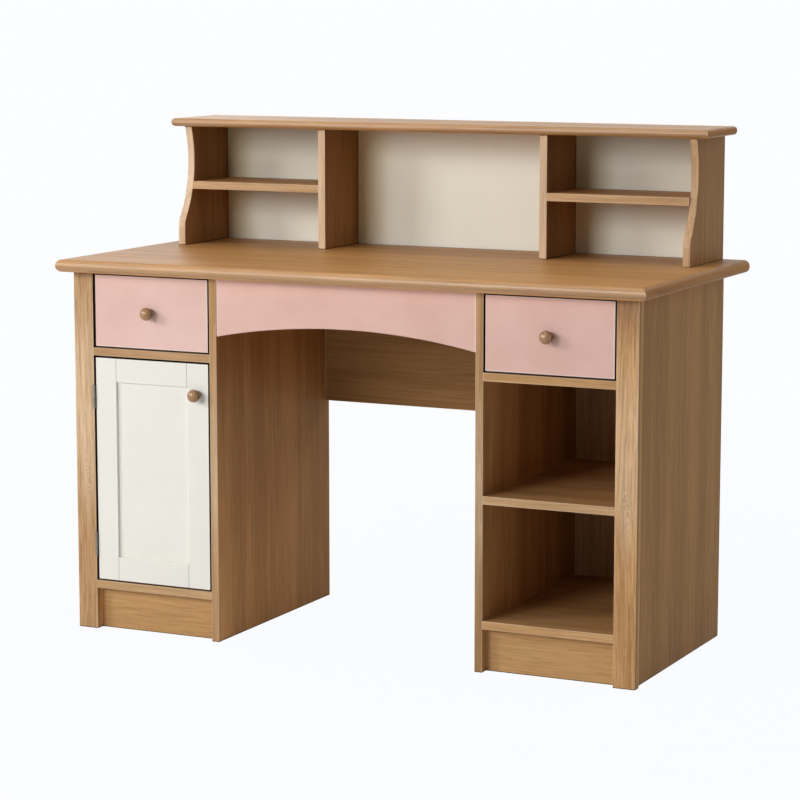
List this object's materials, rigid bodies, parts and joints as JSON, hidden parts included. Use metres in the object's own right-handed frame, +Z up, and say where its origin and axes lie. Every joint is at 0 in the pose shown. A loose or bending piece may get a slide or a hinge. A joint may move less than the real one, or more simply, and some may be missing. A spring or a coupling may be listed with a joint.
{
  "type": "desk with hutch",
  "caption": "Student desk with inset drawers over a cupboard and an open-shelf pedestal, an arched apron over the knee space and a shelved hutch on its top.",
  "frame": {"origin": "on the floor under the middle of the desk top", "axes": "+X along the desk to the sitter's right, +Y from the front to the back, +Z up"},
  "size_m": [1.25, 0.585, 1.014],
  "materials": {
    "oak_veneer": "satin",
    "hardwood": "planed",
    "drawer_wood": "satin",
    "knob_wood": "satin",
    "pink_paint": "satin painted",
    "cream_paint": "satin painted",
    "steel": "brushed",
    "catch_plastic": "matte"
  },
  "bodies": {
    "desk": {"cupboard_shelf": "oak_veneer", "desk_top": "oak_veneer", "door_catch": "catch_plastic", "dowels": "hardwood", "drawer_stops": "hardwood", "front_apron": "pink_paint", "hinge_frame_leaves": "steel", "hinge_frame_screws": "steel", "hinge_pins": "steel", "hutch_back_panel": "cream_paint", "hutch_left_divider": "oak_veneer", "hutch_left_shelf": "oak_veneer", "hutch_left_side": "oak_veneer", "hutch_right_divider": "oak_veneer", "hutch_right_shelf": "oak_veneer", "hutch_right_side": "oak_veneer", "hutch_top": "oak_veneer", "left_back_board": "oak_veneer", "left_bottom_board": "oak_veneer", "left_corner_post": "oak_veneer", "left_divider_board": "oak_veneer", "left_drawer_runners": "hardwood", "left_inner_side": "oak_veneer", "left_outer_side": "oak_veneer", "left_plinth": "oak_veneer", "modesty_panel": "oak_veneer", "open_shelf": "oak_veneer", "right_back_board": "oak_veneer", "right_bottom_board": "oak_veneer", "right_corner_post": "oak_veneer", "right_divider_board": "oak_veneer", "right_drawer_runners": "hardwood", "right_inner_side": "oak_veneer", "right_outer_side": "oak_veneer", "right_plinth": "oak_veneer", "shelf_pegs": "steel"},
    "left_drawer": {"left_drawer_back": "drawer_wood", "left_drawer_bottom": "drawer_wood", "left_drawer_front": "pink_paint", "left_drawer_knob": "knob_wood", "left_drawer_knob_screw": "steel", "left_drawer_left_side": "drawer_wood", "left_drawer_right_side": "drawer_wood"},
    "right_drawer": {"right_drawer_back": "drawer_wood", "right_drawer_bottom": "drawer_wood", "right_drawer_front": "pink_paint", "right_drawer_knob": "knob_wood", "right_drawer_knob_screw": "steel", "right_drawer_left_side": "drawer_wood", "right_drawer_right_side": "drawer_wood"},
    "door": {"door_bottom_rail": "cream_paint", "door_hinge_stile": "cream_paint", "door_knob": "knob_wood", "door_knob_screw": "steel", "door_latch_stile": "cream_paint", "door_panel": "cream_paint", "door_strike": "steel", "door_top_rail": "cream_paint", "hinge_door_leaves": "steel", "hinge_door_screws": "steel"}
  },
  "joints": [
    {"name": "left_drawer_slide", "type": "slide", "parent": "desk", "child": "left_drawer", "axis": [0, -1, 0], "range_m": [0, 0.32]},
    {"name": "right_drawer_slide", "type": "slide", "parent": "desk", "child": "right_drawer", "axis": [0, -1, 0], "range_m": [0, 0.32]},
    {"name": "door_hinge", "type": "hinge", "parent": "desk", "child": "door", "pos_m": [-0.5565, -0.2633, 0.329], "axis": [0, 0, -1], "range_deg": [0, 180]}
  ]
}
